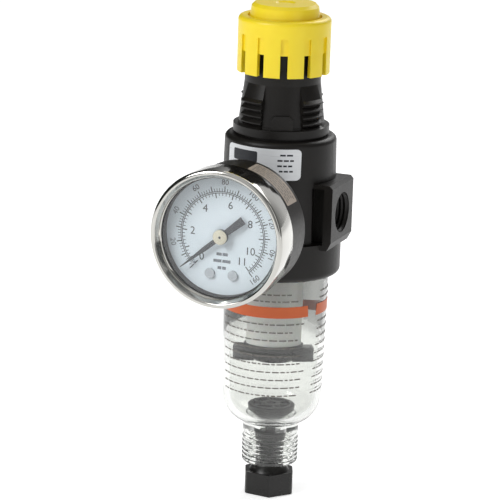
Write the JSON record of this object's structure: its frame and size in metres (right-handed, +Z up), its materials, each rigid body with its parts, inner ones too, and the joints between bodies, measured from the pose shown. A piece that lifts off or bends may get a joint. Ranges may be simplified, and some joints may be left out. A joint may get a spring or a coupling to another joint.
{
  "type": "filter regulator with gauge",
  "caption": "Miniature compressed-air filter regulator with a yellow adjusting knob, a front pressure gauge, a clear bowl and a twist drain.",
  "frame": {"origin": "where the centre line of the two ports crosses the vertical axis", "axes": "+Z up along the adjusting screw, +X out of the outlet port, -Y out through the gauge's face"},
  "size_m": [0.0444, 0.0765, 0.1654],
  "materials": {
    "black_plastic": "satin black glass-filled nylon",
    "yellow_plastic": "satin yellow acetal",
    "white_plastic": "natural white acetal",
    "clear_plastic": "clear polycarbonate",
    "clear_lens": "clear acrylic",
    "filter_media": "white sintered polyethylene",
    "black_rubber": "matt black nitrile",
    "brass": "machined brass",
    "plated_steel": "zinc-plated steel",
    "spring_steel": "spring steel wire",
    "case_steel": "black-painted steel",
    "bright_chrome": "polished chrome-plated steel",
    "dial_face": "white-painted aluminium",
    "pointer_paint": "dark painted steel",
    "label_silver": "silver foil label"
  },
  "bodies": {
    "root": {"body": "black_plastic", "bonnet": "black_plastic", "nameplate": "label_silver", "rear_port_plug": "plated_steel", "control_spring": "spring_steel", "valve_seat": "brass", "valve_spring": "spring_steel", "valve_guide": "black_plastic", "deflector": "black_plastic", "filter_element": "filter_media", "baffle": "black_plastic", "bowl": "clear_plastic", "bowl_seal": "black_rubber", "gauge_socket": "brass", "gauge_case": "case_steel", "bezel": "bright_chrome", "lens": "clear_lens", "lens_gasket": "black_rubber", "dial": "dial_face", "dial_screws": "plated_steel", "stop_pin": "plated_steel", "movement_frame": "brass", "bourdon_tube": "brass"},
    "adjuster": {"adjusting_screw": "plated_steel"},
    "knob": {"adjusting_knob": "yellow_plastic", "knob_cap": "yellow_plastic"},
    "spring_rest": {"spring_rest": "plated_steel"},
    "piston": {"piston": "white_plastic", "piston_seal": "black_rubber"},
    "valve": {"poppet": "brass", "poppet_seal": "black_rubber"},
    "pointer": {"pointer": "pointer_paint", "pinion": "brass"},
    "sector": {"sector": "brass"},
    "drain_knob": {"drain_knob": "black_plastic"},
    "drain_plunger": {"drain_plunger": "black_plastic", "drain_seal": "black_rubber"}
  },
  "joints": [
    {"name": "knob_turn", "type": "hinge", "parent": "root", "child": "adjuster", "pos_m": [0, 0, 0.045], "axis": [0, 0, -1], "range_deg": [0, 1800]},
    {"name": "knob_lift", "type": "slide", "parent": "adjuster", "child": "knob", "axis": [0, 0, 1], "range_m": [0, 0.003]},
    {"name": "rest_travel", "type": "slide", "parent": "root", "child": "spring_rest", "axis": [0, 0, -1], "range_m": [0, 0.0076], "deforming": ["control_spring"]},
    {"name": "piston_travel", "type": "slide", "parent": "root", "child": "piston", "axis": [0, 0, -1], "range_m": [0, 0.0008], "stiffness_N_per_m": 1500},
    {"name": "valve_travel", "type": "slide", "parent": "root", "child": "valve", "axis": [0, 0, -1], "range_m": [0, 0.0008], "stiffness_N_per_m": 400, "deforming": ["valve_spring"]},
    {"name": "gauge_pointer", "type": "hinge", "parent": "root", "child": "pointer", "pos_m": [0, -0.049, 0], "axis": [0, 1, 0], "range_deg": [0, 270]},
    {"name": "sector_swing", "type": "hinge", "parent": "root", "child": "sector", "pos_m": [0.01225, -0.0437, 0], "axis": [0, 1, 0], "range_deg": [-30, 0]},
    {"name": "drain_turn", "type": "hinge", "parent": "root", "child": "drain_knob", "pos_m": [0, 0, -0.0947], "axis": [0, 0, 1], "range_deg": [0, 270]},
    {"name": "drain_lift", "type": "slide", "parent": "root", "child": "drain_plunger", "axis": [0, 0, 1], "range_m": [0, 0.0013]}
  ],
  "couplings": [
    {"joint": "rest_travel", "follows": "knob_turn", "m_per_rad": 0.00023873},
    {"joint": "valve_travel", "follows": "piston_travel", "ratio": 1},
    {"joint": "sector_swing", "follows": "gauge_pointer", "ratio": -0.1},
    {"joint": "drain_lift", "follows": "drain_turn", "m_per_rad": 0.00025465}
  ]
}
